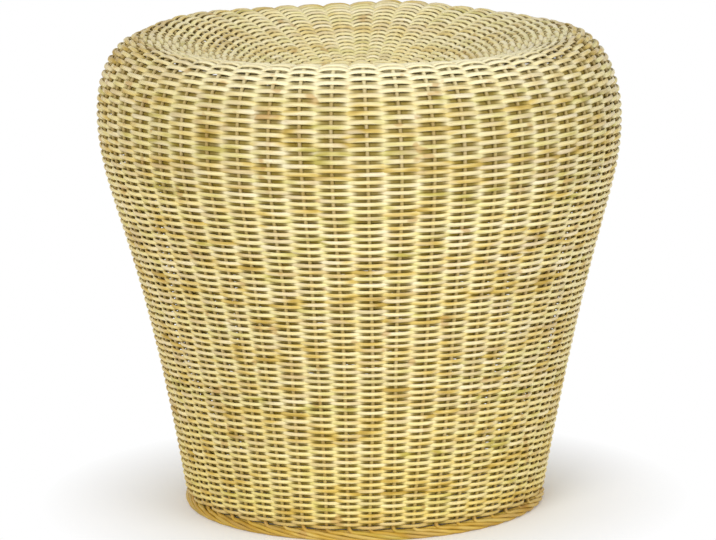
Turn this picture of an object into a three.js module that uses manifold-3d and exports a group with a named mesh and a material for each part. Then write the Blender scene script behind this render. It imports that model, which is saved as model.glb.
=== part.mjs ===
// Woven cane stool: a drum that widens from a small foot to a round shoulder and dips to a dished seat.
//
// Fifty-one stakes carry it. Thirteen long ones run from the foot up the side, over the shoulder, across
// the seat and down the far side; they cross at the seat's centre in two groups, six laid over seven.
// Twenty-five shorter ones fill the gaps between them from part way down the dish. Fine weavers pass in
// front of one stake and behind the next. The weaving is modelled as the two layers that the weavers make,
// one in front of the stakes and one behind, with a ridge at every stake. A strand ties the crossing, and
// the stakes' ends close the foot as a twisted roll.
//
// Millimetres, +Z up, origin at the middle of the foot on the floor.
import * as THREE from "three";
import { mergeVertices } from "three/addons/utils/BufferGeometryUtils.js";
import Module from "manifold-3d";

// Overall form, measured over the ridges of the weaving
const widestDiameter = 462;
const seatHeight = 418; // floor to the crest of the shoulder
const footDiameter = 322; // outside of the wall, just above the foot roll
const shoulderHeight = 68; // from the widest place up to the crest
const shoulderWidth = 38; // from the widest place in to the crest
const dishDepth = 48; // crest to the seat's centre

// Cane
const stakeDiameter = 3.4;
const weaverDiameter = 3.2;
const gap = 0.3; // left between pieces that bear on each other
const valleyThickness = 1.2; // of a weave layer between two stakes

// Stakes
const longStakesAcross = 7; // lower group at the crossing
const longStakesOver = 6; // upper group at the crossing
const spokeCount = 2 * (longStakesAcross + longStakesOver);
const stakeCount = 2 * spokeCount - 1; // an odd number, so that one weaver changes side on every round
const shortStakeRadius = 80; // where the short stakes start in the dish

// Seat centre
const fanRadius = 56; // where the long stakes, fanned out from the crossing, stand evenly round it
const tieLoops = 2;

// Foot roll
const rollStrands = 6; // stake ends side by side round the roll
const rollValleyShare = 0.72; // radius between two strands, as a share of the roll's radius
const floorFlatShare = 0.1; // depth of the flats that the roll stands on, as a share of its diameter

// Facets
const stakeSides = 5;
const tieSides = 6;
const rollStepsPerStake = 2;
const sideSteps = 4;
const shoulderSteps = 4;
const seatSteps = 3;

// Sizes that follow
const stakeRadius = stakeDiameter / 2;
const weaverRadius = weaverDiameter / 2;
const hiddenOffset = stakeRadius + gap; // inner face of a weave layer, from the stakes' middle surface
const ridgeOffset = hiddenOffset + weaverDiameter;
const valleyOffset = hiddenOffset + valleyThickness;
const rollRadius = stakeRadius + stakeDiameter; // strands laid round a core as thick as themselves
const rollHeight = rollRadius - 2 * rollRadius * floorFlatShare; // of the roll's centre line
const wallFoot = rollHeight + rollRadius + gap;
const stakePitch = (2 * Math.PI) / stakeCount;

// The middle surface of the wall is a meridian turned about Z: x is the radius, y the height
const footPoint = new THREE.Vector2(footDiameter / 2 - ridgeOffset, wallFoot);
const widestPoint = new THREE.Vector2(widestDiameter / 2 - ridgeOffset, seatHeight - shoulderHeight);
const crestPoint = new THREE.Vector2(widestDiameter / 2 - shoulderWidth, seatHeight - ridgeOffset);
const centrePoint = new THREE.Vector2(0, crestPoint.y - dishDepth);

const sideRise = widestPoint.y - footPoint.y;
const sideFlare = widestPoint.x - footPoint.x;
const shoulderRise = crestPoint.y - widestPoint.y;
const shoulderRun = widestPoint.x - crestPoint.x;

// Handles of the three curves, as shares of the stretch that each one bends
const footHandleShares = { out: 0.6, up: 0.75 };
const widestHandleShare = 0.21;
const shoulderHandleShare = 0.52;
const dishRimHandleShare = 0.26;
const dishCentreHandleShare = 0.42;

const sideCurve = new THREE.CubicBezierCurve(
  footPoint,
  new THREE.Vector2(footPoint.x + footHandleShares.out * sideFlare, footPoint.y + footHandleShares.up * sideRise),
  new THREE.Vector2(widestPoint.x, widestPoint.y - widestHandleShare * sideRise),
  widestPoint,
);
const shoulderCurve = new THREE.CubicBezierCurve(
  widestPoint,
  new THREE.Vector2(widestPoint.x, widestPoint.y + shoulderHandleShare * shoulderRise),
  new THREE.Vector2(crestPoint.x + shoulderHandleShare * shoulderRun, crestPoint.y),
  crestPoint,
);
const dishCurve = new THREE.CubicBezierCurve(
  crestPoint,
  new THREE.Vector2(crestPoint.x * (1 - dishRimHandleShare), crestPoint.y),
  new THREE.Vector2(crestPoint.x * dishCentreHandleShare, centrePoint.y),
  centrePoint,
);

// A station is a place on the meridian with the outward normal there
function stationOn(curve, t) {
  const tangent = curve.getTangent(t);
  return { at: curve.getPoint(t), normal: new THREE.Vector2(tangent.y, -tangent.x) };
}

function stations(curve, from, to, steps) {
  return Array.from({ length: steps + 1 }, (_, i) => stationOn(curve, from + ((to - from) * i) / steps));
}

// The dish's radius falls all the way in, so halving finds the parameter of a radius
function dishParameter(radius) {
  let low = 0;
  let high = 1;
  for (let i = 0; i < 40; i++) {
    const middle = (low + high) / 2;
    if (dishCurve.getPoint(middle).x > radius) low = middle;
    else high = middle;
  }
  return low;
}

const sideStations = stations(sideCurve, 0, 1, sideSteps);
const shoulderStations = stations(shoulderCurve, 0, 1, shoulderSteps);
const seatStations = stations(dishCurve, 0, dishParameter(shortStakeRadius), seatSteps);
const fanStations = stations(dishCurve, dishParameter(shortStakeRadius), dishParameter(fanRadius), 1);
const shortStakeStations = [...sideStations, ...shoulderStations.slice(1), ...seatStations.slice(1)];
const spokeStations = [...shortStakeStations, ...fanStations.slice(1)];

// Stakes are numbered round the stool; even numbers are the spokes, which reach the seat's centre.
// The first group of spokes is centred on +X.
function stakeAngle(index) {
  return (index - (longStakesAcross - 1)) * stakePitch;
}

// The place where a station of the meridian comes on a stake, with the way out of the wall there
function placeAt(station, angle) {
  const turned = (v) => new THREE.Vector3(v.x * Math.cos(angle), v.x * Math.sin(angle), v.y);
  return { at: turned(station.at), up: turned(station.normal) };
}

// A point over or under a place
function offPlace(place, offset) {
  return place.at.clone().addScaledVector(place.up, offset);
}

// A place moved along the straight line to its neighbour
function moved(place, neighbour, distance) {
  const share = distance / place.at.distanceTo(neighbour.at);
  return {
    at: place.at.clone().lerp(neighbour.at, share),
    up: place.up.clone().lerp(neighbour.up, share).normalize(),
  };
}

// Geometry from points and triangles that close on themselves, turned so that the faces point out
function closedGeometry(points, triangles) {
  const volume = triangles.reduce((sum, [a, b, c]) => {
    return sum + points[a].dot(new THREE.Vector3().crossVectors(points[b], points[c]));
  }, 0);
  const facing = volume > 0 ? triangles : triangles.map(([a, b, c]) => [a, c, b]);
  const geometry = new THREE.BufferGeometry().setFromPoints(points);
  geometry.setIndex(facing.flat());
  geometry.computeVertexNormals();
  return geometry;
}

// A rod through rings of points, one ring for each station, with a flat cap at both ends
function rodGeometry(rings) {
  const sides = rings[0].length;
  const points = rings.flat();
  const triangles = [];
  for (let i = 0; i + 1 < rings.length; i++)
    for (let j = 0; j < sides; j++) {
      const next = (j + 1) % sides;
      const a = i * sides;
      const b = a + sides;
      triangles.push([a + j, b + j, b + next], [a + j, b + next, a + next]);
    }
  const last = (rings.length - 1) * sides;
  for (let j = 1; j + 1 < sides; j++) {
    triangles.push([0, j, j + 1]);
    triangles.push([last, last + j + 1, last + j]);
  }
  return closedGeometry(points, triangles);
}

// A rod of round section along places, each with an up direction; the first corner of its section points up
function rodAlong(places, radius, sides) {
  const rings = places.map(({ at, up }, i) => {
    const before = places[Math.max(i - 1, 0)].at;
    const after = places[Math.min(i + 1, places.length - 1)].at;
    const into = at.clone().sub(before).normalize();
    const along = after.clone().sub(at).normalize().add(into).normalize();
    const across = new THREE.Vector3().crossVectors(along, up).normalize();
    const square = new THREE.Vector3().crossVectors(across, along).normalize();
    return Array.from({ length: sides }, (_, k) => {
      const turn = (2 * Math.PI * k) / sides;
      return at
        .clone()
        .addScaledVector(square, radius * Math.cos(turn))
        .addScaledVector(across, radius * Math.sin(turn));
    });
  });
  return rodGeometry(rings);
}

// Where a stake passes the stations of the wall
function stakePlaces(stationList, angle) {
  return stationList.map((station) => placeAt(station, angle));
}

// The crossing: each group lies side by side, one group above the other, and fans out past the tie
const crossPitch = stakeDiameter + gap;
const layerOffset = crossPitch / 2;
const tiePitch = weaverDiameter + gap;
const up = new THREE.Vector3(0, 0, 1);

function groupHalfWidth(count) {
  return ((count - 1) * crossPitch) / 2 + stakeRadius;
}

// The stakes bend apart on a circle round the crossing, clear of the corners of the tie's last loop
const widerHalf = groupHalfWidth(Math.max(longStakesAcross, longStakesOver));
const bendRadius = Math.hypot(widerHalf + gap + tieLoops * tiePitch, widerHalf) + weaverRadius;

// The four arms of the crossing in order round the stool, each with its number of stakes and its direction
const arms = [
  { count: longStakesAcross, crossed: longStakesOver, layer: -layerOffset, turn: 0 },
  { count: longStakesOver, crossed: longStakesAcross, layer: layerOffset, turn: Math.PI / 2 },
  { count: longStakesAcross, crossed: longStakesOver, layer: -layerOffset, turn: Math.PI },
  { count: longStakesOver, crossed: longStakesAcross, layer: layerOffset, turn: (3 * Math.PI) / 2 },
];

// Spokes in order round the stool, each with its place at the end of its arm
const spokes = arms.flatMap((arm) =>
  Array.from({ length: arm.count }, (_, i) => {
    const aside = (i - (arm.count - 1) / 2) * crossPitch;
    const out = Math.sqrt(bendRadius ** 2 - aside ** 2);
    const end = new THREE.Vector3(out, aside, centrePoint.y + arm.layer);
    return { arm, place: i, end: end.applyAxisAngle(up, arm.turn) };
  }),
);
spokes.forEach((spoke, i) => {
  spoke.angle = stakeAngle(2 * i);
});

function spokePlaces(spoke) {
  return [...stakePlaces(spokeStations, spoke.angle), { at: spoke.end, up }];
}

function fanPlaces(spoke) {
  return [...stakePlaces(fanStations, spoke.angle), { at: spoke.end, up }];
}

// A long stake joins a spoke to the one straight across the crossing
function longStake(spoke) {
  const opposite = (spoke.arm.turn + Math.PI) % (2 * Math.PI);
  const partner = spokes.find(
    (other) => other.arm.turn === opposite && other.place === spoke.arm.count - 1 - spoke.place,
  );
  return rodAlong([...spokePlaces(spoke), ...spokePlaces(partner).reverse()], stakeRadius, stakeSides);
}

function shortStake(angle) {
  return rodAlong(stakePlaces(shortStakeStations, angle), stakeRadius, stakeSides);
}

// Joins a ring of points to one with as many or half as many, all the way round
function joinRings(triangles, full, half) {
  const count = half.length;
  const ratio = full.length / count;
  for (let k = 0; k < count; k++) {
    const next = (k + 1) % count;
    if (ratio === 1) {
      triangles.push([full[k], full[next], half[next]], [full[k], half[next], half[k]]);
    } else {
      const start = full[2 * k];
      const valley = full[2 * k + 1];
      const end = full[(2 * k + 2) % full.length];
      triangles.push([start, valley, half[k]], [valley, end, half[next]], [valley, half[next], half[k]]);
    }
  }
}

// One layer of weaving over the places of each stake: side is 1 in front of the stakes and -1 behind them.
// A fluted layer has a ridge over every stake and a valley between. Both ends stop half a gap short.
function weaveLayer(stakes, side, fluted) {
  const last = stakes[0].length - 1;
  const trimmed = stakes.map((places) => [
    moved(places[0], places[1], gap / 2),
    ...places.slice(1, last),
    moved(places[last], places[last - 1], gap / 2),
  ]);
  const points = [];
  const level = (k, offset) => trimmed.map((places) => offPlace(places[k], side * offset));
  const between = (ring) => ring.map((point, i) => point.clone().lerp(ring[(i + 1) % ring.length], 1 / 2));
  const kept = (ring) => ring.map((point) => points.push(point) - 1);
  const face = trimmed[0].map((_, k) => {
    if (!fluted) return kept(level(k, ridgeOffset));
    const valleys = between(level(k, valleyOffset));
    return kept(level(k, ridgeOffset).flatMap((ridge, i) => [ridge, valleys[i]]));
  });
  const hidden = trimmed[0].map((_, k) => kept(level(k, hiddenOffset)));
  const triangles = [];
  for (let k = 0; k < last; k++) {
    joinRings(triangles, face[k + 1], face[k]);
    joinRings(triangles, hidden[k], hidden[k + 1]);
  }
  joinRings(triangles, face[0], hidden[0]);
  const far = [];
  joinRings(far, face[last], hidden[last]);
  triangles.push(...far.map(([a, b, c]) => [a, c, b]));
  return closedGeometry(points, triangles);
}

// The tie winds out in square loops: over the two lower arms and under the two upper ones
function tieGeometry() {
  const reach = layerOffset - stakeRadius - weaverRadius - gap; // from the seat's middle surface
  const places = [];
  for (let i = 0; i < tieLoops * arms.length; i++) {
    const arm = arms[i % arms.length];
    const loopShare = i / arms.length;
    const out = groupHalfWidth(arm.crossed) + gap + weaverRadius + tiePitch * Math.floor(loopShare);
    const aside = groupHalfWidth(arm.count);
    const height = centrePoint.y + Math.sign(arm.layer) * reach;
    for (const share of [-1, 1]) {
      const at = new THREE.Vector3(out, share * aside, height).applyAxisAngle(up, arm.turn);
      places.push({ at, up });
    }
  }
  return rodAlong(places, weaverRadius, tieSides);
}

// The roll: a ring of lobes, one for each strand, that turns about its own centre line. It moves on by one
// lobe at every stake, so that each stake's end is one strand of the outside.
function rollGeometry() {
  const corners = 2 * rollStrands;
  const steps = rollStepsPerStake * stakeCount;
  const middle = footPoint.x;
  const rings = Array.from({ length: steps }, (_, i) => {
    const angle = (2 * Math.PI * i) / steps;
    const twist = -(angle * stakeCount) / rollStrands - Math.PI / 2; // a strand is lowest at +X
    return Array.from({ length: corners }, (_, j) => {
      const around = twist + (2 * Math.PI * j) / corners;
      const reach = j % 2 === 0 ? rollRadius : rollRadius * rollValleyShare;
      const radius = middle + reach * Math.cos(around);
      return new THREE.Vector3(
        radius * Math.cos(angle),
        radius * Math.sin(angle),
        rollHeight + reach * Math.sin(around),
      );
    });
  });
  const triangles = [];
  rings.forEach((_, i) => {
    const a = i * corners;
    const b = ((i + 1) % steps) * corners;
    const shift = i + 1 === steps ? corners - 2 * (stakeCount % rollStrands) : 0; // closes the round
    for (let j = 0; j < corners; j++) {
      const next = (j + 1) % corners;
      const over = (j + shift) % corners;
      const overNext = (next + shift) % corners;
      triangles.push([a + j, b + over, b + overNext], [a + j, b + overNext, a + next]);
    }
  });
  return closedGeometry(rings.flat(), triangles);
}

// Booleans
const wasm = await Module();
wasm.setup();

function solid(geometry) {
  const bare = geometry.clone();
  bare.deleteAttribute("normal");
  bare.deleteAttribute("uv");
  const merged = mergeVertices(bare);
  return new wasm.Manifold(
    new wasm.Mesh({
      numProp: 3,
      vertProperties: new Float32Array(merged.attributes.position.array),
      triVerts: new Uint32Array(merged.index.array),
    }),
  );
}

function geometryOf(made) {
  const mesh = made.getMesh();
  const geometry = new THREE.BufferGeometry();
  geometry.setAttribute("position", new THREE.BufferAttribute(mesh.vertProperties, 3));
  geometry.setIndex(new THREE.BufferAttribute(mesh.triVerts, 1));
  geometry.computeVertexNormals();
  return geometry;
}

// The floor side of the roll, cut level at z = 0
function levelled(geometry) {
  const wide = footDiameter + 2 * rollRadius;
  const below = new THREE.BoxGeometry(wide, wide, rollRadius).translate(0, 0, -rollRadius / 2);
  return geometryOf(solid(geometry).subtract(solid(below)));
}

// Finishes
const caneStake = new THREE.MeshStandardMaterial({ color: 0xe6d296, roughness: 0.55, metalness: 0 });
const caneWeaver = new THREE.MeshStandardMaterial({ color: 0xddc67f, roughness: 0.5, metalness: 0 });
const caneRoll = new THREE.MeshStandardMaterial({ color: 0xc79f4a, roughness: 0.5, metalness: 0 });

const stool = new THREE.Group();

function add(name, geometry, material) {
  const mesh = new THREE.Mesh(geometry, material);
  mesh.name = name;
  stool.add(mesh);
}

const twoDigits = (number) => String(number).padStart(2, "0");

spokes
  .filter((spoke) => spoke.arm.turn < Math.PI)
  .forEach((spoke, i) => add(`long_stake_${twoDigits(i + 1)}`, longStake(spoke), caneStake));
for (let i = 1; i < spokeCount; i++)
  add(`short_stake_${twoDigits(i)}`, shortStake(stakeAngle(2 * i - 1)), caneStake);

const stakeAngles = Array.from({ length: stakeCount }, (_, i) => stakeAngle(i));
const weaves = {
  side: stakeAngles.map((angle) => stakePlaces(sideStations, angle)),
  shoulder: stakeAngles.map((angle) => stakePlaces(shoulderStations, angle)),
  seat: stakeAngles.map((angle) => stakePlaces(seatStations, angle)),
  centre: spokes.map(fanPlaces),
};
for (const [zone, stakes] of Object.entries(weaves)) {
  add(`${zone}_weave_front`, weaveLayer(stakes, 1, true), caneWeaver);
  add(`${zone}_weave_back`, weaveLayer(stakes, -1, false), caneWeaver);
}
add("crossing_tie", tieGeometry(), caneWeaver);
add("foot_roll", levelled(rollGeometry()), caneRoll);

export default stool;
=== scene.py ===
# Woven cane stool, dressed strand by strand over its frame. Lengths are in metres.
import math

import bpy
import numpy as np
from mathutils import Euler, Matrix, Vector


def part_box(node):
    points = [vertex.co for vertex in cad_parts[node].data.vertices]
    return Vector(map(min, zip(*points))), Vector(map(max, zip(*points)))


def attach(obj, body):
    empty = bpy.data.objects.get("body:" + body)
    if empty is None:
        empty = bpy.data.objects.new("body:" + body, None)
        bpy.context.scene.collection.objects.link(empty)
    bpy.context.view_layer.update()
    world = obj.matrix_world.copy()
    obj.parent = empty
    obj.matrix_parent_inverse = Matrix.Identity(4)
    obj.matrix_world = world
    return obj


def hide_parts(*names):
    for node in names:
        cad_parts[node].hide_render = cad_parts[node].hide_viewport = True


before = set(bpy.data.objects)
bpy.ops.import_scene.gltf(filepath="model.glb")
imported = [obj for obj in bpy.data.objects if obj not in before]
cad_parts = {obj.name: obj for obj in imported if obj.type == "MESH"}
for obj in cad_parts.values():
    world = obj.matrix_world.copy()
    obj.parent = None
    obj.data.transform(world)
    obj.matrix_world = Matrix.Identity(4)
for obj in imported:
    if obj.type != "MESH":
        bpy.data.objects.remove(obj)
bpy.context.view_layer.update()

print("frame loaded:", len(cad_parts), "nodes")
luck = np.random.default_rng(51)
fullTurn = 2 * math.pi


# The camera stands at the photograph's angle

cameraPlace = {
    "aim": (-0.0039, 0.0, 0.2060),
    "distance": 3.74,
    "azimuth": -3.25,    # degrees round the stool, so that the stakes stand as in the photograph
    "elevation": 11.5,   # degrees over the floor
    "roll": -0.7,        # degrees, because the photograph isn't quite level
    "lens": 212.0,       # millimetres
    "sensor": 36.0,      # millimetres
    "sight": 50.0,       # how far it sees
}


def addCamera(place):
    lens = bpy.data.cameras.new("photoCamera")
    lens.lens = place["lens"]
    lens.sensor_width = place["sensor"]
    lens.clip_end = place["sight"]
    camera = bpy.data.objects.new("photoCamera", lens)
    bpy.context.scene.collection.objects.link(camera)
    turn, lift = math.radians(place["azimuth"]), math.radians(place["elevation"])
    back = Vector((math.sin(turn) * math.cos(lift), -math.cos(turn) * math.cos(lift), math.sin(lift)))
    camera.location = Vector(place["aim"]) + back * place["distance"]
    level = Euler((math.radians(90.0) - lift, 0.0, turn)).to_matrix()
    camera.rotation_euler = (level @ Matrix.Rotation(math.radians(place["roll"]), 3, "Z")).to_euler()
    bpy.context.scene.camera = camera
    print("camera placed")


# Node materials

class Signal:
    # A number socket that can be used in an expression
    def __init__(self, finish, socket):
        self.finish = finish
        self.socket = socket

    def __add__(self, other):
        return self.finish.maths("ADD", self, other)

    def __radd__(self, other):
        return self.finish.maths("ADD", other, self)

    def __sub__(self, other):
        return self.finish.maths("SUBTRACT", self, other)

    def __rsub__(self, other):
        return self.finish.maths("SUBTRACT", other, self)

    def __mul__(self, other):
        return self.finish.maths("MULTIPLY", self, other)

    def __rmul__(self, other):
        return self.finish.maths("MULTIPLY", other, self)


class Finish:
    # The holder is a new material or world
    def __init__(self, holder, shader="Principled BSDF"):
        holder.use_nodes = True
        self.tree = holder.node_tree
        self.shader = self.tree.nodes[shader]

    # Any node: its type, its settings, then the values or links of its sockets
    def node(self, kind, settings, sockets):
        made = self.tree.nodes.new(kind)
        for key, value in settings.items():
            if key == "stops":
                ramp = made.color_ramp
                while len(ramp.elements) < len(value):
                    ramp.elements.new(0.5)
                for element, (place, colour) in zip(ramp.elements, value):
                    element.position = place
                    element.color = (*colour, 1.0)
            else:
                setattr(made, key, value)
        for key, value in sockets.items():
            self.feed(made.inputs[key], value)
        return made

    def feed(self, socket, value):
        if isinstance(value, Signal):
            self.tree.links.new(value.socket, socket)
        else:
            socket.default_value = value

    def shade(self, sockets):
        for key, value in sockets.items():
            self.feed(self.shader.inputs[key], value)

    def maths(self, operation, first, second):
        made = self.node("ShaderNodeMath", {"operation": operation}, {0: first, 1: second})
        return Signal(self, made.outputs[0])

    def vectors(self, operation, first, second):
        made = self.node("ShaderNodeVectorMath", {"operation": operation}, {0: first, 1: second})
        return Signal(self, made.outputs[0])

    def length(self, vector):
        made = self.node("ShaderNodeVectorMath", {"operation": "LENGTH"}, {0: vector})
        return Signal(self, made.outputs["Value"])

    def attribute(self, name, output):
        made = self.node("ShaderNodeAttribute", {"attribute_name": name}, {})
        return Signal(self, made.outputs[output])

    # Where a point is on the stool, in metres
    def place(self):
        return Signal(self, self.node("ShaderNodeTexCoord", {}, {}).outputs["Object"])

    # One of its coordinates
    def part(self, letter):
        return Signal(self, self.node("ShaderNodeSeparateXYZ", {}, {0: self.place()}).outputs[letter])

    # How far it is from the stool's axis
    def radius(self):
        return self.length(self.vectors("MULTIPLY", self.place(), (1, 1, 0)))

    def noise(self, place, detail):
        made = self.node("ShaderNodeTexNoise", {}, {"Vector": place, "Scale": 1.0, "Detail": detail})
        return Signal(self, made.outputs["Fac"])

    # Noise on the strand's own coordinates, which differ from strand to strand by the shift
    def fibreNoise(self, fibre, shift, scale, detail):
        return self.noise(self.vectors("ADD", self.vectors("MULTIPLY", fibre, scale), shift), detail)

    # Noise over the whole piece, whatever the strands do
    def patches(self, scale):
        return self.noise(self.vectors("MULTIPLY", self.place(), scale), 1.0)

    # 1 for the rays that show a thing, straight or mirrored, and 0 for those that carry its light
    def seen(self):
        rays = self.node("ShaderNodeLightPath", {}, {})
        camera, glossy, through = (Signal(self, rays.outputs[f"Is {kind} Ray"])
                                   for kind in ("Camera", "Glossy", "Transmission"))
        return self.maths("MAXIMUM", self.maths("MAXIMUM", camera, glossy), through)

    def ramp(self, factor, stops):
        made = self.node("ShaderNodeValToRGB", {"stops": stops}, {"Fac": factor})
        return Signal(self, made.outputs["Color"])

    # Squeezes a number so that low becomes 0 and high becomes 1
    def between(self, value, low, high):
        sockets = {"Value": value, "From Min": low, "From Max": high}
        made = self.node("ShaderNodeMapRange", {"clamp": True}, sockets)
        return Signal(self, made.outputs["Result"])

    def mixed(self, factor, first, second, blend="MIX"):
        settings = {"data_type": "RGBA", "blend_type": blend}
        made = self.node("ShaderNodeMix", settings, {0: factor, 6: first, 7: second})
        return Signal(self, made.outputs[2])

    def painted(self, colour, mask, paint):
        return self.mixed(mask, colour, (*paint, 1.0))

    def tinted(self, colour, mask, tint):
        return self.mixed(mask, colour, (*tint, 1.0), "MULTIPLY")

    def bump(self, height, strength, distance):
        sockets = {"Height": height, "Strength": strength, "Distance": distance}
        made = self.node("ShaderNodeBump", {}, sockets)
        self.shade({"Normal": Signal(self, made.outputs["Normal"])})


# Peeled cane: a satin straw colour that drifts along each strand, fine fibres, and painted shade in the
# hollows

caneGrain = {
    # Noises on a strand: turns a metre along, through and across it, and detail
    "slow": ((9.0, 90.0, 90.0), 2.0),
    "quick": ((46.0, 160.0, 160.0), 1.0),
    "washes": ((21.0, 70.0, 70.0), 1.0),
    "fibres": ((60.0, 2600.0, 2600.0), 2.0),
    "flecks": ((190.0, 900.0, 900.0), 2.0),
    "toneShift": 61.0,                    # moves them from strand to strand
    "washShift": 17.0,
    # Noises over the whole stool, which spread over neighbouring strands
    "patchScale": (26.0, 26.0, 58.0),
    "knotScale": (55.0, 55.0, 70.0),
    # What picks a colour from the stops
    "shares": (0.55, 1.1, 1.1, 1.0),      # of the strand's tone, the slow and quick drift and the patches
    "shareStart": 1.37,
    "washFrom": (0.54, 0.66),             # pale and dusty stretches
    "washStrength": 0.6,
    "streaks": [(0.30, (0.82, 0.77, 0.68)), (0.60, (1.0, 1.0, 1.0))],
    "streakStrength": 0.8,
    "fleckFrom": (0.66, 0.74),
    "fleck": ((0.34, 0.21, 0.07), 0.4),   # colour and strength, as of the next two
    "knotFrom": (0.68, 0.74),
    "knot": ((0.45, 0.26, 0.07), 0.6),
    "soil": ((0.36, 0.19, 0.05), 0.5),
    "jointShadeHeights": (0.009, 0.019),        # painted shade: the dark brown line where the weave meets the roll
    "jointShadeEdges": (0.002, 0.006),
    # Tints by place, with painted shade on the shoulder and painted light at the crest and in the dish
    "lowGoldenBelow": 0.150,                   # height under which the cane is more golden towards the floor
    "aged": (1.00, 0.95, 0.66),
    "proudFrom": (0.10, 0.34),            # hollows, from 0 to 1, between which the weave's proud faces end
    "proud": (0.96, 0.93, 0.88),
    "shoulderShadeAbove": (0.300, 0.345),       # heights between which the shoulder is painted a little darker: painted shade against the light from above
    "brushed": (0.92, 0.925, 0.96),
    "goldenFrom": (0.08, 0.22),           # distances to the left between which it turns more golden
    "golden": (1.00, 0.96, 0.84),
    "paintedLightAbove": 0.392,               # height over which the front is painted paler towards the crest: painted light from above
    "paintedLightFrom": 0.06,                 # how far in front of the middle that begins
    "paintedLight": (0.94, 0.875, 0.59),
    "paintedLightShares": (0.9, 0.25),          # of the painted light, at the crest and in the dish
    "dishEdge": 0.02,                     # width over which the dish's masks set in
    "dishAbove": (0.32, 0.34),            # heights over which the middle counts as the dish
    "shadeEaseShares": (0.5, 0.4),            # how much less painted shade the hollows get at the crest and in the dish
    "roughShares": (0.2, 0.3),            # of the fibres and of the hollows' painted shade mask
    "bumpStrength": 0.5,
    "bumpDepth": 0.00012,
    "shine": 0.25,
}

weaverTones = {
    "stops": [
        (0.00, (0.490, 0.345, 0.070)),
        (0.18, (0.670, 0.510, 0.145)),
        (0.38, (0.790, 0.670, 0.300)),
        (0.58, (0.830, 0.750, 0.420)),
        (0.80, (0.740, 0.670, 0.285)),
        (1.00, (0.500, 0.430, 0.100)),
    ],
    "pale": (0.870, 0.800, 0.610),
    "dusty": (0.650, 0.540, 0.350),
    # Painted shade: the colour that the hollows are darkened towards, over which depths, and how much
    "hollow": (0.255, 0.176, 0.012),
    "hollowReach": (0.38, 0.64),
    "hollowStrength": 0.88,
    "roughness": 0.40,
}

# The stakes' own cane colour, painted darker than the weavers' as painted shade, since they stand back in
# the weave; their hollows get painted shade from lower depths
shadedStakeTones = {
    "stops": [
        (0.00, (0.450, 0.320, 0.110)),
        (0.45, (0.580, 0.460, 0.200)),
        (1.00, (0.540, 0.440, 0.180)),
    ],
    "pale": (0.720, 0.600, 0.360),
    "dusty": (0.500, 0.400, 0.200),
    "hollow": (0.270, 0.185, 0.030),
    "hollowReach": (0.12, 0.55),
    "hollowStrength": 0.75,
    "roughness": 0.44,
}

rollTones = {
    "stops": [
        (0.00, (0.360, 0.205, 0.028)),
        (0.35, (0.490, 0.320, 0.055)),
        (0.70, (0.590, 0.420, 0.100)),
        (1.00, (0.450, 0.350, 0.070)),
    ],
    "pale": (0.660, 0.540, 0.260),
    "dusty": (0.510, 0.370, 0.170),
    # Painted shade: the colour that the hollows are darkened towards, over which depths, and how much
    "hollow": (0.300, 0.170, 0.022),
    "hollowReach": (0.25, 0.80),
    "hollowStrength": 0.55,
    "roughness": 0.42,
}


# Masks by place on the stool, 1 where most and 0 where none: more golden low down and to the left, a tint
# on the proud faces, painted shade on the shoulder and where the weave meets the roll, painted light at the
# crest
def placeMasks(finish, hollow):
    x, y, height = (finish.part(letter) for letter in "XYZ")
    dished = finish.between(drum["crestRadius"] - finish.radius(), 0.0, caneGrain["dishEdge"])
    dished = dished * finish.between(height, *caneGrain["dishAbove"])
    crest = finish.between(height, caneGrain["paintedLightAbove"], drum["crestHeight"])
    front = finish.between(0.0 - y, caneGrain["paintedLightFrom"], drum["crestRadius"])
    low, high = caneGrain["jointShadeHeights"]
    lowEdge, highEdge = caneGrain["jointShadeEdges"]
    return {
        "aged": finish.between(caneGrain["lowGoldenBelow"] - height, 0.0, caneGrain["lowGoldenBelow"]),
        "proud": 1.0 - finish.between(hollow, *caneGrain["proudFrom"]) - dished,
        "brushed": finish.between(height, *caneGrain["shoulderShadeAbove"]) - dished,
        "golden": finish.between(0.0 - x, *caneGrain["goldenFrom"]),
        "paintedLight": crest * front,
        "dished": dished,
        "soil": finish.between(height, low, low + lowEdge) * finish.between(high - height, 0.0, highEdge),
    }


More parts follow.
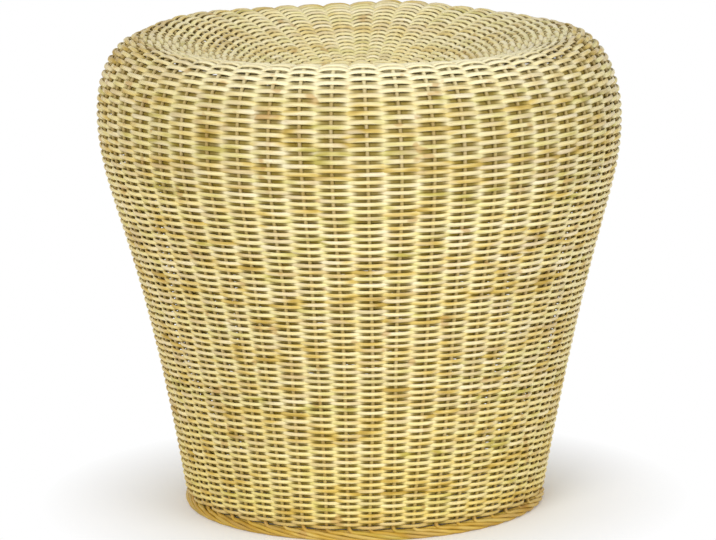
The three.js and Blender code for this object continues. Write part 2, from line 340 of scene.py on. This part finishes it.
def caneFinish(name, tones):
    material = bpy.data.materials.new(name)
    finish = Finish(material)
    fibre = finish.attribute("fibre", "Vector")
    tone = finish.attribute("tone", "Fac")
    hollow = finish.attribute("hollow", "Fac")
    worn = placeMasks(finish, hollow)
    shift = tone * caneGrain["toneShift"]
    slow, quick, fibres, flecks = (finish.fibreNoise(fibre, shift, *caneGrain[key])
                                   for key in ("slow", "quick", "fibres", "flecks"))
    drifts = (tone, slow, quick, finish.patches(caneGrain["patchScale"]))
    place = sum(drift * share for drift, share in zip(drifts, caneGrain["shares"]))
    colour = finish.ramp(place - caneGrain["shareStart"], tones["stops"])

    washes = finish.fibreNoise(fibre, shift + caneGrain["washShift"], *caneGrain["washes"])
    for wash, key in ((washes, "pale"), (1.0 - washes, "dusty")):
        mask = finish.between(wash, *caneGrain["washFrom"]) * caneGrain["washStrength"]
        colour = finish.painted(colour, mask, tones[key])
    # Tints by place; the shoulder's is painted shade
    for key in ("aged", "proud", "brushed", "golden"):
        colour = finish.tinted(colour, worn[key], caneGrain[key])
    # Painted light: paler towards the crest on the front, and in the dish
    crestShare, dishShare = caneGrain["paintedLightShares"]
    paintedLightMask = worn["paintedLight"] * crestShare + worn["dished"] * dishShare
    colour = finish.painted(colour, paintedLightMask, caneGrain["paintedLight"])
    streaks = finish.ramp(fibres, caneGrain["streaks"])
    colour = finish.mixed(caneGrain["streakStrength"], colour, streaks, "MULTIPLY")

    # Flecks and knots are the cane's own marks; the brown line at the foot is painted shade
    spots = {
        "fleck": finish.between(flecks, *caneGrain["fleckFrom"]),
        "soil": worn["soil"],
        "knot": finish.between(finish.patches(caneGrain["knotScale"]), *caneGrain["knotFrom"]),
    }
    for key, mask in spots.items():
        paint, strength = caneGrain[key]
        colour = finish.painted(colour, mask * strength, paint)

    # Painted shade in the hollows: darker the deeper a point lies behind the front of the weave, less at
    # the crest and in the dish
    crestShadeEase, dishShadeEase = caneGrain["shadeEaseShares"]
    shadeKept = 1.0 - worn["dished"] * dishShadeEase - worn["paintedLight"] * crestShadeEase
    depth = finish.between(hollow, *tones["hollowReach"]) * shadeKept * tones["hollowStrength"]
    fibreShare, hollowRoughShare = caneGrain["roughShares"]
    finish.shade({
        "Base Color": finish.painted(colour, depth, tones["hollow"]),
        "Specular IOR Level": caneGrain["shine"],
        "Roughness": fibres * fibreShare + depth * hollowRoughShare + (tones["roughness"] - fibreShare / 2),
    })
    finish.bump(fibres, caneGrain["bumpStrength"], caneGrain["bumpDepth"])
    return material


# The wall's middle surface is an outline turned about the stool's axis. Its corners come from the frame.

cane = {
    "stake": 0.0034,
    "weaver": 0.0024,      # through the wall: the strands are pressed flat between the stakes
    "bite": 0.0004,        # how far they sink into the stakes
    "tie": 0.0032,
    "gap": 0.0003,
}
waveReach = (cane["stake"] + cane["weaver"]) / 2 - cane["bite"]
ridge = waveReach + cane["weaver"] / 2
rollRadius = 1.5 * cane["stake"]     # the roll is three strands thick
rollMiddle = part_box("foot_roll")[1].x - rollRadius

drum = {
    "footRadius": rollMiddle + 0.0008,       # the wall stands a little outside the middle of the foot roll
    "footHeight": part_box("foot_roll")[1].z + cane["gap"],
    "widestRadius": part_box("side_weave_front")[1].x - ridge,
    "widestHeight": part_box("side_weave_front")[1].z + cane["gap"] / 2,
    "crestRadius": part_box("seat_weave_front")[1].x + cane["gap"] / 2,
    "crestHeight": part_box("seat_weave_front")[1].z - ridge,
    "centreHeight": (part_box("crossing_tie")[0].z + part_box("crossing_tie")[1].z) / 2,
    "footHandles": (0.6, 0.75),    # shares of the side's flare and rise
    "widestHandle": 0.21,
    "shoulderHandle": 0.52,
    "dishHandles": (0.26, 0.42),
    "shortRadius": 0.080,          # where the short stakes start
    "fanRadius": 0.056,            # inside this the long stakes turn towards the crossing
}
print("drum:", {key: value for key, value in drum.items() if "Radius" in key or "Height" in key})


# A smooth curve from start to end that leaves and arrives towards the two handles
def curveBetween(start, first, second, end, steps=400):
    t = np.linspace(0.0, 1.0, steps)[:, None]
    start, first, second, end = (np.array(p, float) for p in (start, first, second, end))
    begin = (1 - t) ** 3 * start + 3 * (1 - t) ** 2 * t * first
    return begin + 3 * (1 - t) * t ** 2 * second + t ** 3 * end


def distancesAlong(points):
    steps = np.linalg.norm(np.diff(points, axis=0), axis=1)
    return np.concatenate([[0.0], np.cumsum(steps)])


def unit(vectors):
    return vectors / np.linalg.norm(vectors, axis=1)[:, None]


def drumOutline(size):
    foot = (size["footRadius"], size["footHeight"])
    wide = (size["widestRadius"], size["widestHeight"])
    crest = (size["crestRadius"], size["crestHeight"])
    centre = (0.0, size["centreHeight"])
    flare, rise = wide[0] - foot[0], wide[1] - foot[1]
    out, up = size["footHandles"]
    arrive = (wide[0], wide[1] - size["widestHandle"] * rise)
    side = curveBetween(foot, (foot[0] + out * flare, foot[1] + up * rise), arrive, wide)
    run, climb = wide[0] - crest[0], crest[1] - wide[1]
    bend = size["shoulderHandle"]
    leave, settle = (wide[0], wide[1] + bend * climb), (crest[0] + bend * run, crest[1])
    shoulder = curveBetween(wide, leave, settle, crest)
    rim, middle = size["dishHandles"]
    dish = curveBetween(crest, (crest[0] * (1 - rim), crest[1]), (crest[0] * middle, centre[1]), centre)
    points = np.vstack([side, shoulder[1:], dish[1:]])
    along = distancesAlong(points)
    tangent = unit(np.gradient(points, along, axis=0))
    table = {"along": along, "radius": points[:, 0], "height": points[:, 1],
             "outward": tangent[:, 1], "upward": -tangent[:, 0]}
    marks = {"widest": along[len(side) - 1], "crest": along[len(side) + len(shoulder) - 2]}
    inner = along > marks["crest"]
    for name in ("short", "fan"):
        marks[name] = float(np.interp(-size[f"{name}Radius"], -points[inner, 0], along[inner]))
    return table, marks


outline, marks = drumOutline(drum)


def onOutline(along, what):
    return np.interp(along, outline["along"], outline[what])


# A point over or under the wall's middle surface, and the way out of the wall there
def wallPoint(along, angle, offset):
    outward, upward = onOutline(along, "outward"), onOutline(along, "upward")
    reach = onOutline(along, "radius") + outward * offset
    height = onOutline(along, "height") + upward * offset
    point = np.stack([reach * np.cos(angle), reach * np.sin(angle), height], axis=-1)
    normal = np.stack([outward * np.cos(angle), outward * np.sin(angle), upward + 0.0 * angle], axis=-1)
    return point, normal


# Made by hand, so the drum leans a little and its rim rises and falls

unevenness = {
    "lean": -0.007,          # sideways for each metre of height
    "bow": 0.0025,           # sideways at half the height
    "rimStart": 0.34,        # height where the rim begins to rise and fall
    "rimRise": 0.07,         # height over which it comes to the full
    "pushes": [              # direction and spread in degrees, and the height that the rim gains there
        (-93.0, 26.0, 0.0020),
        (32.0, 22.0, -0.0024),
        (74.0, 12.0, 0.0032),
        (135.0, 14.0, 0.0022),
        (161.0, 10.0, -0.0020),
    ],
}


def handMade(points):
    x, y, z = points[:, 0], points[:, 1], points[:, 2]
    angle, radius = np.degrees(np.arctan2(y, x)), np.hypot(x, y)
    rise = 0.0
    for middle, spread, height in unevenness["pushes"]:
        away = (angle - middle + 180.0) % 360.0 - 180.0
        rise = rise + height * np.exp(-(away / spread) ** 2)
    share = np.clip((z - unevenness["rimStart"]) / unevenness["rimRise"], 0.0, 1.0)
    share = share * np.interp(radius, [drum["fanRadius"], drum["crestRadius"]], [0.0, 1.0])
    bow = unevenness["bow"] * np.sin(np.pi * np.clip(z / drum["crestHeight"], 0.0, 1.0))
    return np.stack([x + unevenness["lean"] * z + bow, y, z + rise * share], axis=-1)


# Strands: tubes through points, with the attributes that the cane finish reads. The hollow is how far a
# point is behind the front of the weave, from 0 to 1; the finish paints shade by it.

def strandTube(points, normals, size, tone, offset, front=ridge):
    points = handMade(points)
    count, sides = len(points), size["sides"]
    tangent = unit(np.gradient(points, axis=0))
    across = unit(np.cross(tangent, normals))
    square = np.cross(across, tangent)
    turn = fullTurn * np.arange(sides) / sides
    lift = np.tile(size["thick"] / 2 * np.cos(turn), (count, 1))
    aside = np.broadcast_to(size["tall"], (count,))[:, None] / 2 * np.sin(turn)
    ring = lift[:, :, None] * square[:, None, :] + aside[:, :, None] * across[:, None, :]
    ring += points[:, None, :]
    ring[:, :, 2] = np.maximum(ring[:, :, 2], 0.0)    # flat where it stands on the floor
    along = distancesAlong(points)
    fibre = np.stack([np.broadcast_to(along[:, None], lift.shape), lift, aside], axis=-1)
    depth = front - np.broadcast_to(offset, (count,))[:, None] - lift
    hollow = np.clip(depth / (2 * front), 0.0, 1.0)
    near = np.arange(count - 1)[:, None] * sides + np.arange(sides)
    beside = np.arange(count - 1)[:, None] * sides + (np.arange(sides) + 1) % sides
    quads = np.stack([near, near + sides, beside + sides, beside], axis=-1).reshape(-1, 4)
    caps = [list(range(sides)), [(count - 1) * sides + k for k in reversed(range(sides))]]
    return {"points": ring.reshape(-1, 3), "quads": quads, "caps": caps,
            "tone": np.full(count * sides, tone), "fibre": fibre.reshape(-1, 3),
            "hollow": hollow.reshape(-1)}


# A strand's own tone, most often a middling one
def drawTone(evenness=2.2):
    return float(luck.beta(evenness, evenness))


# One object from its strands, standing for its CAD nodes. It returns how many triangles it has.
def strandPiece(name, tubes, material, nodes):
    quads, caps, before = [], [], 0
    for tube in tubes:
        quads.append(tube["quads"] + before)
        caps += [[k + before for k in cap] for cap in tube["caps"]]
        before += len(tube["points"])
    quads = np.vstack(quads)
    points = np.vstack([tube["points"] for tube in tubes])
    corners = np.concatenate([quads.ravel(), np.array([k for cap in caps for k in cap])])
    sizes = np.concatenate([np.full(len(quads), 4), np.array([len(cap) for cap in caps])])
    mesh = bpy.data.meshes.new(name)
    mesh.vertices.add(len(points))
    mesh.vertices.foreach_set("co", points.ravel())
    mesh.loops.add(len(corners))
    mesh.loops.foreach_set("vertex_index", corners)
    mesh.polygons.add(len(sizes))
    mesh.polygons.foreach_set("loop_start", np.concatenate([[0], np.cumsum(sizes)[:-1]]))
    mesh.update(calc_edges=True)
    for key, kind, field in (("tone", "FLOAT", "value"), ("hollow", "FLOAT", "value"),
                             ("fibre", "FLOAT_VECTOR", "vector")):
        values = np.concatenate([tube[key] for tube in tubes])
        layer = mesh.attributes.new(key, kind, "POINT")
        layer.data.foreach_set(field, values.ravel().astype(np.float32))
    mesh.polygons.foreach_set("use_smooth", np.ones(len(sizes), bool))
    mesh.validate()
    mesh.materials.append(material)
    piece = bpy.data.objects.new(name, mesh)
    bpy.context.scene.collection.objects.link(piece)
    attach(piece, "root")
    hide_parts(*nodes)
    return len(corners) - 2 * len(sizes)


# Stakes stand round the drum; even ones are long and meet at the seat's centre

stakes = {
    "count": 51,
    "groups": (7, 6),      # long stakes in the lower and the upper group of the crossing
    "tieLoops": 2,
    "sway": 0.0011,        # how far a stake strays sideways
    "swayWaves": (9.0, 23.0),    # a slow and a quick one, in radians a metre
    "quickShare": 0.6,     # height of the quick wave for each of the slow one
    "calmLength": 0.05,    # the sway dies away over this much before the short stakes' ends
    "leastRadius": 0.05,   # a guard for the seat's centre
    "footEnd": -0.001,     # before the outline's start, which holds the first point
    "shortEnd": 0.004,     # how far a short stake reaches past the seat's spiral
    "step": 0.008,
    "bendSteps": 9,
    "sides": 10,
}
stakePitch = fullTurn / stakes["count"]
spokeCount = 2 * sum(stakes["groups"])
swayPhase = luck.uniform(0.0, fullTurn, (2, stakes["count"]))


def stakeAngle(index, along):
    index = np.asarray(index)
    stake = index % stakes["count"]
    slow, quick = (np.sin(wave * along + phase[stake])
                   for wave, phase in zip(stakes["swayWaves"], swayPhase))
    straight = (index - (stakes["groups"][0] - 1)) * stakePitch
    calm = np.clip((marks["short"] - along) / stakes["calmLength"], 0.0, 1.0)
    sway = calm * stakes["sway"] * (slow + stakes["quickShare"] * quick)
    return straight + sway / np.maximum(onOutline(along, "radius"), stakes["leastRadius"])


# The crossing: seven stakes side by side under six, each group spreading past the tie
crossPitch = cane["stake"] + cane["gap"]
tiePitch = cane["tie"] + cane["gap"]
groupHalf = {count: (count - 1) * crossPitch / 2 + cane["stake"] / 2 for count in stakes["groups"]}
widerHalf = groupHalf[max(stakes["groups"])]
bendRadius = (math.hypot(widerHalf + cane["gap"] + stakes["tieLoops"] * tiePitch, widerHalf)
              + cane["tie"] / 2)

lower, upper = stakes["groups"]
arms = [
    {"count": lower, "crossed": upper, "layer": -crossPitch / 2, "turn": 0.0},
    {"count": upper, "crossed": lower, "layer": crossPitch / 2, "turn": math.pi / 2},
    {"count": lower, "crossed": upper, "layer": -crossPitch / 2, "turn": math.pi},
    {"count": upper, "crossed": lower, "layer": crossPitch / 2, "turn": 3 * math.pi / 2},
]
spokes = [(arm, place) for arm in arms for place in range(arm["count"])]


def turned(out, aside, height, turn):
    return np.array([out * math.cos(turn) - aside * math.sin(turn),
                     out * math.sin(turn) + aside * math.cos(turn), height])


# From the fan's edge a spoke bends smoothly into its arm of the crossing
def spokeBend(index):
    arm, place = spokes[index]
    aside = (place - (arm["count"] - 1) / 2) * crossPitch
    out = math.sqrt(bendRadius ** 2 - aside ** 2)
    end = turned(out, aside, drum["centreHeight"] + arm["layer"], arm["turn"])
    ends = np.array([marks["fan"] - 0.0005, marks["fan"]])    # two places, for the spoke's direction there
    before, start = wallPoint(ends, stakeAngle(2 * index, ends), 0.0)[0]
    into = (start - before) / np.linalg.norm(start - before)
    away = turned(-1.0, 0.0, 0.0, arm["turn"])
    reach = np.linalg.norm(end - start) / 3
    curve = curveBetween(start, start + into * reach, end - away * reach, end, stakes["bendSteps"])
    return curve, upwards(len(curve))


def upwards(count):
    return np.tile(np.array([0.0, 0.0, 1.0]), (count, 1))


# One spoke or short stake, from the foot to the given place on the outline
def stakeRun(index, stop):
    along = np.linspace(stakes["footEnd"], stop, int(stop / stakes["step"]))
    return wallPoint(along, stakeAngle(index, along), 0.0)


def makeStakes(material):
    size = {"thick": cane["stake"], "tall": cane["stake"], "sides": stakes["sides"]}
    triangles = 0
    for index in range(lower + upper):
        # The spoke across the seat, on the other end of the same long stake
        partner = 2 * lower + upper - 1 - index if index < lower else spokeCount + lower - 1 - index
        runs = []
        for spoke in (index, partner):
            points, normals = stakeRun(2 * spoke, marks["fan"])
            bend, up = spokeBend(spoke)
            runs.append((np.vstack([points, bend[1:]]), np.vstack([normals, up[1:]])))
        points, normals = (np.vstack([there, back[::-1]]) for there, back in zip(*runs))
        tube = strandTube(points, normals, size, drawTone(), 0.0)
        name = f"long_stake_{index + 1:02d}"
        triangles += strandPiece(f"{name}_cane", [tube], material, [name])
    for short in range(1, spokeCount):
        points, normals = stakeRun(2 * short - 1, marks["short"] + stakes["shortEnd"])
        tube = strandTube(points, normals, size, drawTone(), 0.0)
        name = f"short_stake_{short:02d}"
        triangles += strandPiece(f"{name}_cane", [tube], material, [name])
    print("stakes made:", triangles, "triangles")


# Weavers pass in front of one stake and behind the next, row after row, as one long spiral

weavers = {
    "steps": 6,              # points from one stake to the next
    "sides": 8,
    "fullness": 1.28,        # how tall a strand is, as a share of the spacing of the rows
    "dishFullness": 1.24,    # the same in the dish, where the strands are trodden flat
    "swell": 0.15,           # how much taller it is behind a stake, where it is pressed less
    "mostTall": 0.0047,
    "squareness": 0.12,      # how straight a strand runs past a stake before it dives behind the next
    "worn": 0.62,            # depth of the waves in the dish, which use has flattened
    "packed": (0.00065, 0.00060, -0.00090),    # shift in front of a stake: foot, widest place, crest
    "strandLengths": (1.6, 3.4),
    "leastStakes": 30,       # the fewest that a strand passes
    "lap": 0.3,              # how far before its first stake a strand starts, in stakes
    "tuck": (0.5, 0.1),      # stakes before its last one at which its end begins and has ended slipping in
    "tail": 0.35,            # how far it runs on past its last stake, in stakes
    "unevenThickness": 0.06,
    "unevenRow": 0.00022,
    "rowWaves": (0.37, 0.083),   # a quick and a slow one in each row, in radians a stake
    "mostWobble": 6.28,      # by which they differ from strand to strand
    "firstStakes": 9,        # stakes passed before the lowest row
    "sidePitch": [           # height, and the spacing of the rows there
        (0.010, 0.00275),
        (0.050, 0.00300),
        (0.095, 0.00312),
        (0.150, 0.00288),
        (0.210, 0.00308),
        (0.265, 0.00311),
        (0.320, 0.00320),
        (0.350, 0.00360),
    ],
    "shoulderPitch": 0.00372,
    "dishPitch": 0.00275,
    "centrePitch": 0.00270,
    "centreLead": 2,         # rows by which the centre's paths reach into the seat weaving
    "centreStarts": (0.4, 1.0),    # turns by which its two strands start early, to close up to the spiral
    "centreFirst": 0.5,      # rows before the first one's middle
    "centreFree": 1.0,       # rows left free at the tie
    "centreSteps": 12,
}


def rowsAlong():
    along = outline["along"]
    heights = [height for height, _ in weavers["sidePitch"]]
    pitches = [pitch for _, pitch in weavers["sidePitch"]]
    side = np.interp(outline["height"], heights, pitches)
    beyond = np.interp(along, [marks["widest"], marks["crest"], marks["short"]],
                       [pitches[-1], weavers["shoulderPitch"], weavers["dishPitch"]])
    pitch = np.where(along <= marks["widest"], side, beyond)
    rows = np.concatenate([[0.0], np.cumsum(np.diff(along) * 2 / (pitch[1:] + pitch[:-1]))])
    return rows, pitch


rowTable, pitchTable = rowsAlong()


def alongRow(row):
    return np.interp(row, rowTable, outline["along"])


# The stakes that the spiral has passed at a place on the outline. It is an odd number, so that strands
# end out of sight.
def passedAt(along):
    return 2 * int(np.interp(along, outline["along"], rowTable) * stakes["count"] / 2) + 1


def weaverSize(passed):
    along = alongRow(passed / stakes["count"])
    pitch = np.interp(along, outline["along"], pitchTable)
    places = [marks["crest"], marks["short"]]
    fullness = np.interp(along, places, [weavers["fullness"], weavers["dishFullness"]])
    uneven = 1 + weavers["unevenThickness"] * float(luck.uniform(-1, 1))
    tall = min(pitch * fullness, weavers["mostTall"])
    return {"thick": cane["weaver"] * uneven, "tall": tall * uneven, "sides": weavers["sides"]}


# How far the strand's end has slipped in behind the start of the next one
def tucked(passed, last, thick):
    begin, done = weavers["tuck"]
    share = np.clip((passed - (last - begin)) / (begin - done), 0.0, 1.0)
    return thick * share * share * (3 - 2 * share)


# In front of a stake at a whole even number, behind it at a whole odd one
def waveAt(passed):
    square = weavers["squareness"]
    return (np.cos(np.pi * passed) - square * np.cos(3 * np.pi * passed)) / (1 - square)


def weaverPath(first, last, wobble, size):
    start, stop = first - weavers["lap"], last + weavers["tail"]
    passed = np.linspace(start, stop, int(round((stop - start) * weavers["steps"])) + 1)
    along = alongRow(passed / stakes["count"])
    quick, slow = weavers["rowWaves"]
    stray = np.sin(passed * quick + wobble) * np.sin(passed * slow + 2 * wobble)
    along = along + weavers["unevenRow"] * stray
    before = np.floor(passed).astype(int)
    share = passed - before
    angle = (1 - share) * stakeAngle(before, along) + share * stakeAngle(before + 1, along)
    wave = waveAt(passed)
    depth = np.interp(along, [marks["crest"], marks["short"]], [1.0, weavers["worn"]])
    offset = depth * waveReach * wave - tucked(passed, last, size["thick"])
    size["tall"] = size["tall"] * (1 - weavers["swell"] * depth * wave)
    places = [0.0, marks["widest"], marks["crest"], marks["short"]]
    along = along + np.interp(along, places, [*weavers["packed"], 0.0]) * wave
    points, normals = wallPoint(along, angle, offset)
    return points, normals, offset


def weaverTubes(here, stop):
    tubes = []
    while here < stop:
        spacing = onOutline(alongRow(here / stakes["count"]), "radius") * stakePitch
        end = here + 2 * int(luck.uniform(*weavers["strandLengths"]) / spacing / 2)
        if stop - end < weavers["leastStakes"]:
            end = stop
        size = weaverSize(here)
        wobble = float(luck.uniform(0, weavers["mostWobble"]))
        points, normals, offset = weaverPath(here, end, wobble, size)
        tubes.append(strandTube(points, normals, size, drawTone(), offset))
        here = end
    return tubes


# Each spoke's way from the seat weaving to the crossing, as the share that is done, the radius, the angle
# and the height
def spokePaths():
    paths = []
    lead = weavers["centreLead"] * weavers["centrePitch"]
    for index in range(spokeCount):
        along = np.linspace(marks["short"] - lead, marks["fan"], weavers["centreSteps"])
        run = wallPoint(along, stakeAngle(2 * index, along), 0.0)[0]
        path = np.vstack([run, spokeBend(index)[0][1:]])
        done = distancesAlong(path)
        angle = np.unwrap(np.arctan2(path[:, 1], path[:, 0]))
        angle += fullTurn * round(((2 * index - (lower - 1)) * stakePitch - angle[0]) / fullTurn)
        paths.append((done / done[-1], np.hypot(path[:, 0], path[:, 1]), angle, path[:, 2]))
    return paths, done[-1]


# Over the spokes alone two strands chase each other, because the spokes are even in number. They take
# over where the seat's spiral ends, at the spoke beside its last stake.
def centreTubes():
    paths, length = spokePaths()
    rows = length / weavers["centrePitch"]
    lead, first = weavers["centreLead"], weavers["centreFirst"]
    firstSpoke = round(passedAt(marks["short"]) % stakes["count"] / 2)
    tall = weavers["centrePitch"] * weavers["fullness"]
    size = {"thick": cane["weaver"], "tall": tall, "sides": weavers["sides"]}
    tubes = []
    for strand in (0, 1):
        start = -round(spokeCount * weavers["centreStarts"][strand])
        stop = (rows - lead - strand - weavers["centreFree"]) / 2 * spokeCount
        passed = np.arange(start, stop, 1 / weavers["steps"])
        part = (lead + first + strand + 2 * passed / spokeCount) / rows
        before = np.floor(passed).astype(int)
        share = (passed - before)[:, None]
        places = []
        for spoke in (before + firstSpoke, before + firstSpoke + 1):
            rounds, spoke = np.divmod(spoke, spokeCount)
            place = np.array([[np.interp(here, paths[k][0], values) for values in paths[k][1:]]
                              for here, k in zip(part, spoke)])
            place[:, 1] += fullTurn * rounds
            places.append(place)
        radius, angle, height = (places[0] * (1 - share) + places[1] * share).T
        slope = np.interp(radius, outline["radius"][::-1], outline["outward"][::-1])
        slope = np.where(radius < drum["crestRadius"], slope, 0.0)
        normals = np.stack([slope * np.cos(angle), slope * np.sin(angle), np.sqrt(1 - slope ** 2)], axis=-1)
        points = np.stack([radius * np.cos(angle), radius * np.sin(angle), height], axis=-1)
        offset = weavers["worn"] * waveReach * waveAt(passed + strand)
        points = points + normals * offset[:, None]
        tubes.append(strandTube(points, normals, size, drawTone(), offset))
    return tubes


def makeWeave(material):
    widest, crest, short = (passedAt(marks[name]) for name in ("widest", "crest", "short"))
    names = [f"side_weave_{part}" for part in ("foot", "low", "middle", "high")]
    first, pairs = weavers["firstStakes"], 2 * len(names)
    cuts = [first + 2 * int((widest - first) * part / pairs) for part in range(len(names))]
    cuts += [widest, crest, short]
    names += ["shoulder_weave", "seat_weave"]
    strands = [(name, weaverTubes(here, stop)) for name, here, stop in zip(names, cuts, cuts[1:])]
    strands.append(("centre_weave", centreTubes()))
    for name, tubes in strands:
        zone = name.split("_")[0]
        nodes = (f"{zone}_weave_front", f"{zone}_weave_back")
        triangles = strandPiece(name, tubes, material, nodes)
        print(name, "made:", triangles, "triangles")


# The tie winds out in square loops, over the two lower arms and under the two upper ones

tie = {
    "cornerCut": 0.25,     # share of a side by which its corners are rounded
    "tone": 0.5,
}


def makeTie(material):
    reach = crossPitch / 2 - cane["stake"] / 2 - cane["tie"] / 2 - cane["gap"]
    corners = []
    for side in range(stakes["tieLoops"] * len(arms)):
        arm = arms[side % len(arms)]
        out = groupHalf[arm["crossed"]] + cane["gap"] + cane["tie"] / 2 + tiePitch * (side // len(arms))
        aside = groupHalf[arm["count"]]
        height = drum["centreHeight"] + math.copysign(reach, arm["layer"])
        for hand in (-1, 1):
            corners.append(turned(out, hand * aside, height, arm["turn"]))
    corners = np.array(corners)
    points, cut = [corners[0]], tie["cornerCut"]
    for before, corner, after in zip(corners, corners[1:], corners[2:]):
        points += [corner + (before - corner) * cut, corner * (1 - cut) + (before + after) * cut / 2,
                   corner + (after - corner) * cut]
    points = np.array(points + [corners[-1]])
    size = {"thick": cane["tie"], "tall": cane["tie"], "sides": weavers["sides"]}
    tube = strandTube(points, upwards(len(points)), size, tie["tone"], 0.0)
    triangles = strandPiece("crossing_tie_cane", [tube], material, ["crossing_tie"])
    print("crossing tie made:", triangles, "triangles")


# Below the weave every stake bends to one side and winds once round the foot, six strands side by side

roll = {
    "strands": 6,
    "steps": 30,
    "sides": 10,
    "floorFlat": 0.1,        # depth of the worn flats, as a share of the roll's diameter
    "turns": (0.12, 1.08),   # of a strand round the roll's centre line, where it joins the roll and ends
    "leaves": 0.0035,        # place on the wall where a stake begins to bend
    "bendSteps": 6,
    "evenness": 2.0,         # of the strands' tones
}


def makeRoll(material):
    height = rollRadius * (1 - 2 * roll["floorFlat"])
    middle = rollRadius - cane["stake"] / 2
    size = {"thick": cane["stake"], "tall": cane["stake"], "sides": roll["sides"]}
    tubes = []
    for index in range(stakes["count"]):
        foot = float(stakeAngle(index, 0.0))
        turn = np.linspace(*roll["turns"], roll["steps"])
        angle = foot + turn * roll["strands"] * stakePitch
        around = math.pi / 2 - turn * fullTurn
        radius = rollMiddle + middle * np.cos(around)
        level = height + middle * np.sin(around)
        helix = np.stack([radius * np.cos(angle), radius * np.sin(angle), level], axis=-1)
        top = wallPoint(np.array([roll["leaves"]]), np.array([foot]), 0.0)[0][0]
        into = (helix[1] - helix[0]) / np.linalg.norm(helix[1] - helix[0])
        reach = np.linalg.norm(helix[0] - top) / 2
        down = top - np.array([0.0, 0.0, reach])
        bend = curveBetween(top, down, helix[0] - into * reach, helix[0], roll["bendSteps"])
        points = np.vstack([bend[:-1], helix])
        centre = np.stack([rollMiddle * np.cos(angle), rollMiddle * np.sin(angle),
                           np.full(len(angle), height)], axis=-1)
        outward = (helix - centre) / middle
        start = np.array([math.cos(foot), math.sin(foot), 0.0])
        share = np.linspace(0.0, 1.0, len(bend))[:-1, None]
        normals = np.vstack([start * (1 - share) + outward[0] * share, outward])
        tone = drawTone(roll["evenness"])
        # The finish paints shade on the inner side of each strand of the roll
        tubes.append(strandTube(points, normals, size, tone, 0.0, cane["stake"] / 2))
    triangles = strandPiece("foot_roll_cane", tubes, material, ["foot_roll"])
    print("foot roll made:", triangles, "triangles")


# Floor, light and background

studio = {
    "floorSize": 16.0,
    "floorColour": (0.95, 0.95, 0.95, 1.0),
    "floorRoughness": 0.9,
    "whiteFrom": (0.150, 0.29),   # distance over which the floor turns into a white backdrop
    "worldStrength": 0.55,
    "lampAim": (0.0, 0.0, 0.25),
    "lamps": [
        ("keyLamp", (-2.4, -4.7, 2.40), 2.6, 177.0),      # name, place, size, power
        ("fillLamp", (4.0, -3.9, 1.5), 3.0, 134.0),
    ],
}


def addLamp(name, place, size, power):
    lamp = bpy.data.lights.new(name, "AREA")
    lamp.energy = power
    lamp.size = size
    holder = bpy.data.objects.new(name, lamp)
    bpy.context.scene.collection.objects.link(holder)
    holder.location = place
    away = Vector(place) - Vector(studio["lampAim"])
    holder.rotation_euler = away.to_track_quat("Z", "Y").to_euler()


def addStudio(settings):
    bpy.ops.object.select_all(action="DESELECT")
    bpy.ops.mesh.primitive_plane_add(size=settings["floorSize"], location=(0.0, 0.0, 0.0))
    floor = bpy.context.active_object
    floor.name = "paleFloor"
    material = bpy.data.materials.new("paleFloor")
    floor.data.materials.append(material)
    finish = Finish(material)
    finish.shade({"Base Color": settings["floorColour"], "Roughness": settings["floorRoughness"]})
    far = finish.between(finish.length(finish.place()), *settings["whiteFrom"])
    white = finish.node("ShaderNodeEmission", {}, {"Strength": 1.0})
    both = finish.node("ShaderNodeMixShader", {}, {0: far * finish.seen()})
    finish.tree.links.new(finish.shader.outputs[0], both.inputs[1])
    finish.tree.links.new(white.outputs[0], both.inputs[2])
    finish.tree.links.new(both.outputs[0], finish.tree.nodes["Material Output"].inputs["Surface"])
    for lamp in settings["lamps"]:
        addLamp(*lamp)
    world = bpy.data.worlds.new("whiteRoom")
    bpy.context.scene.world = world
    room = Finish(world, "Background")
    strength = room.seen() * (1.0 - settings["worldStrength"]) + settings["worldStrength"]
    room.shade({"Color": (1.0, 1.0, 1.0, 1.0), "Strength": strength})
    bpy.context.scene.view_settings.view_transform = "Standard"
    print("studio lit")


addCamera(cameraPlace)
addStudio(studio)

weaverCane = caneFinish("weaverCane", weaverTones)
shadedStakeCane = caneFinish("shadedStakeCane", shadedStakeTones)
rollCane = caneFinish("rollCane", rollTones)
print("cane finishes made")

makeStakes(shadedStakeCane)
makeWeave(weaverCane)
makeTie(weaverCane)
makeRoll(rollCane)
